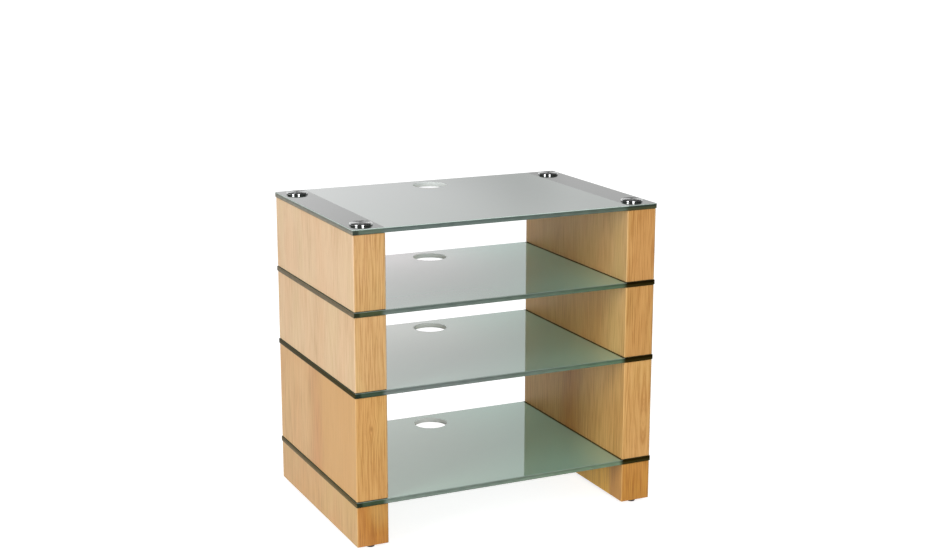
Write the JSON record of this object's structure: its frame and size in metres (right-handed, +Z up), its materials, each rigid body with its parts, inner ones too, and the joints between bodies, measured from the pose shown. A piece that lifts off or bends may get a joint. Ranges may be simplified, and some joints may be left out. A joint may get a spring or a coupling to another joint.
{
  "type": "audio equipment rack",
  "caption": "Free-standing equipment rack: glass shelves with rear cable holes, clamped between stacked oak blocks by tie rods with chrome caps.",
  "frame": {"origin": "on the floor under the middle of the rack, with the feet screwed in", "axes": "+X to the right seen from the front, +Y to the rear, +Z up; the front faces -Y"},
  "size_m": [0.664, 0.454, 0.6455],
  "materials": {
    "shelf_glass": "thick float glass with a green edge, slightly milky, polished top",
    "oak": "light oak veneer with upright grain, satin lacquer",
    "gasket_vinyl": "clear soft vinyl sheet, satin",
    "washer_rubber": "matte black",
    "chrome": "polished",
    "zinc_steel": "bright zinc",
    "dark_steel": "black zinc",
    "brass": "machined",
    "foot_rubber": "matte black"
  },
  "bodies": {
    "rack": {"shelf_bottom": "shelf_glass", "shelf_middle": "shelf_glass", "shelf_upper": "shelf_glass", "shelf_top": "shelf_glass", "left_plinth": "oak", "left_block_lower": "oak", "left_block_upper": "oak", "left_block_top": "oak", "right_plinth": "oak", "right_block_lower": "oak", "right_block_upper": "oak", "right_block_top": "oak", "left_gasket_bottom_below": "gasket_vinyl", "left_gasket_bottom_above": "gasket_vinyl", "left_gasket_middle_below": "gasket_vinyl", "left_gasket_middle_above": "gasket_vinyl", "left_gasket_upper_below": "gasket_vinyl", "left_gasket_upper_above": "gasket_vinyl", "left_gasket_top_below": "gasket_vinyl", "right_gasket_bottom_below": "gasket_vinyl", "right_gasket_bottom_above": "gasket_vinyl", "right_gasket_middle_below": "gasket_vinyl", "right_gasket_middle_above": "gasket_vinyl", "right_gasket_upper_below": "gasket_vinyl", "right_gasket_upper_above": "gasket_vinyl", "right_gasket_top_below": "gasket_vinyl", "rod_left_front": "zinc_steel", "nut_left_front": "zinc_steel", "washer_left_front": "zinc_steel", "cap_washer_left_front": "washer_rubber", "foot_insert_left_front": "brass", "rod_left_rear": "zinc_steel", "nut_left_rear": "zinc_steel", "washer_left_rear": "zinc_steel", "cap_washer_left_rear": "washer_rubber", "foot_insert_left_rear": "brass", "rod_right_front": "zinc_steel", "nut_right_front": "zinc_steel", "washer_right_front": "zinc_steel", "cap_washer_right_front": "washer_rubber", "foot_insert_right_front": "brass", "rod_right_rear": "zinc_steel", "nut_right_rear": "zinc_steel", "washer_right_rear": "zinc_steel", "cap_washer_right_rear": "washer_rubber", "foot_insert_right_rear": "brass"},
    "left_front_cap": {"cap_left_front": "chrome"},
    "left_front_foot": {"foot_stem_left_front": "dark_steel", "foot_pad_left_front": "foot_rubber"},
    "left_rear_cap": {"cap_left_rear": "chrome"},
    "left_rear_foot": {"foot_stem_left_rear": "dark_steel", "foot_pad_left_rear": "foot_rubber"},
    "right_front_cap": {"cap_right_front": "chrome"},
    "right_front_foot": {"foot_stem_right_front": "dark_steel", "foot_pad_right_front": "foot_rubber"},
    "right_rear_cap": {"cap_right_rear": "chrome"},
    "right_rear_foot": {"foot_stem_right_rear": "dark_steel", "foot_pad_right_rear": "foot_rubber"}
  },
  "joints": [
    {"name": "left_front_cap_unscrew", "type": "slide", "parent": "rack", "child": "left_front_cap", "axis": [0, 0, 1], "range_m": [0, 0.018]},
    {"name": "left_rear_cap_unscrew", "type": "slide", "parent": "rack", "child": "left_rear_cap", "axis": [0, 0, 1], "range_m": [0, 0.018]},
    {"name": "right_front_cap_unscrew", "type": "slide", "parent": "rack", "child": "right_front_cap", "axis": [0, 0, 1], "range_m": [0, 0.018]},
    {"name": "right_rear_cap_unscrew", "type": "slide", "parent": "rack", "child": "right_rear_cap", "axis": [0, 0, 1], "range_m": [0, 0.018]},
    {"name": "left_front_foot_adjust", "type": "slide", "parent": "rack", "child": "left_front_foot", "axis": [0, 0, -1], "range_m": [0, 0.01]},
    {"name": "left_rear_foot_adjust", "type": "slide", "parent": "rack", "child": "left_rear_foot", "axis": [0, 0, -1], "range_m": [0, 0.01]},
    {"name": "right_front_foot_adjust", "type": "slide", "parent": "rack", "child": "right_front_foot", "axis": [0, 0, -1], "range_m": [0, 0.01]},
    {"name": "right_rear_foot_adjust", "type": "slide", "parent": "rack", "child": "right_rear_foot", "axis": [0, 0, -1], "range_m": [0, 0.01]}
  ]
}
